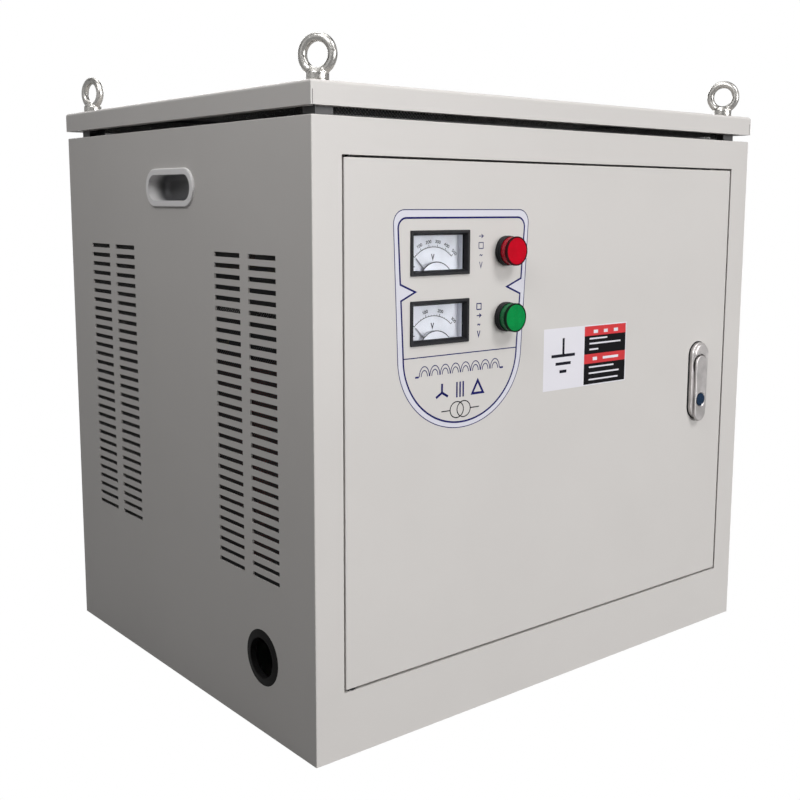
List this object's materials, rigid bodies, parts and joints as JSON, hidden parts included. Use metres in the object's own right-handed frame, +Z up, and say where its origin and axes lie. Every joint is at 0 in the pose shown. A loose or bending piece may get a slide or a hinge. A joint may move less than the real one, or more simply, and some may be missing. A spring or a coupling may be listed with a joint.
{
  "type": "dry type transformer",
  "caption": "Louvred sheet steel transformer cabinet with a lockable hinged door, panel meters, pilot lamps, lifting eyes and side handles, holding a three-limb core with coils.",
  "frame": {"origin": "centre of the cabinet's footprint, on the surface that it stands on", "axes": "+Z up, +X to the right as one faces the door, -Y out of the door's face"},
  "size_m": [0.6044, 0.5017, 0.6249],
  "materials": {
    "cabinet_paint": "satin light grey powder coat",
    "galvanised": "galvanised sheet",
    "mesh": "dark perforated sheet",
    "zinc": "bright zinc plate",
    "lock_metal": "satin zinc die casting",
    "steel": "plain machined steel",
    "black_plastic": "moulded black",
    "foam": "closed cell foam",
    "dial_white": "white enamel",
    "needle_paint": "black",
    "window": "clear",
    "lens_red": "translucent red",
    "lens_green": "translucent green",
    "button_blue": "translucent blue",
    "brass": "machined",
    "copper": null,
    "core_steel": "laminated silicon steel, varnished",
    "clamp_paint": "dark grey paint",
    "lv_winding": "varnished aluminium winding",
    "hv_winding": "aluminium winding cast in resin",
    "insulation": "glass laminate"
  },
  "bodies": {
    "cabinet": {"base_tray": "cabinet_paint", "side_wall_left": "cabinet_paint", "side_wall_right": "cabinet_paint", "rear_panel": "cabinet_paint", "rear_posts": "cabinet_paint", "front_post_left": "cabinet_paint", "front_post_right": "cabinet_paint", "front_top_rail": "cabinet_paint", "front_bottom_rail": "cabinet_paint", "top_ring": "cabinet_paint", "lid_posts": "galvanised", "vent_screens": "mesh", "lid": "cabinet_paint", "eyebolts": "zinc", "eyebolt_washers": "zinc", "side_handle_left": "black_plastic", "side_handle_right": "black_plastic", "cable_grommet": "black_plastic", "louvre_screens_left": "mesh", "louvre_screens_right": "mesh", "hinge_pins": "steel", "door_buffer": "foam", "base_rails": "galvanised", "core": "core_steel", "yoke_clamps": "clamp_paint", "clamp_bolts": "zinc", "lv_coils": "lv_winding", "hv_coils": "hv_winding", "duct_spacers": "insulation", "terminal_boards": "insulation", "phase_straps": "copper", "terminal_studs": "brass"},
    "door": {"door_panel": "cabinet_paint", "hinge_plates": "galvanised", "meter_bezel_upper": "black_plastic", "meter_case_upper": "black_plastic", "meter_window_upper": "window", "meter_dial_upper": "dial_white", "meter_movement_upper": "steel", "meter_bezel_lower": "black_plastic", "meter_case_lower": "black_plastic", "meter_window_lower": "window", "meter_dial_lower": "dial_white", "meter_movement_lower": "steel", "meter_terminals": "brass", "lamp_body_red": "black_plastic", "lamp_lens_red": "lens_red", "lamp_body_green": "black_plastic", "lamp_lens_green": "lens_green", "lamp_nuts": "black_plastic", "lock_body": "lock_metal", "lock_nut": "steel"},
    "lock_rotor": {"lock_rotor": "lock_metal", "handle_pin": "steel", "lock_cam": "steel", "cam_screw": "steel"},
    "lock_handle": {"lock_handle": "lock_metal"},
    "lock_button": {"lock_button": "button_blue"},
    "needle_upper": {"meter_needle_upper": "needle_paint"},
    "needle_lower": {"meter_needle_lower": "needle_paint"}
  },
  "joints": [
    {"name": "door_swing", "type": "hinge", "parent": "cabinet", "child": "door", "pos_m": [-0.26, -0.238, 0.293], "axis": [0, 0, -1], "range_deg": [0, 110]},
    {"name": "lock_turn", "type": "hinge", "parent": "door", "child": "lock_rotor", "pos_m": [0.22, -0.243, 0.3085], "axis": [0, 1, 0], "range_deg": [0, 90]},
    {"name": "handle_lift", "type": "hinge", "parent": "lock_rotor", "child": "lock_handle", "pos_m": [0.22, -0.246, 0.3165], "axis": [-1, 0, 0], "range_deg": [0, 30]},
    {"name": "button_press", "type": "slide", "parent": "lock_handle", "child": "lock_button", "axis": [0, 1, 0], "range_m": [0, 0.001], "stiffness_N_per_m": 500, "springref_m": -0.0005},
    {"name": "needle_upper_swing", "type": "hinge", "parent": "door", "child": "needle_upper", "pos_m": [-0.1625, -0.2343, 0.4165], "axis": [0, 1, 0], "range_deg": [0, 88], "stiffness_Nm_per_rad": 0.00002},
    {"name": "needle_lower_swing", "type": "hinge", "parent": "door", "child": "needle_lower", "pos_m": [-0.1625, -0.2343, 0.3545], "axis": [0, 1, 0], "range_deg": [0, 88], "stiffness_Nm_per_rad": 0.00002}
  ]
}
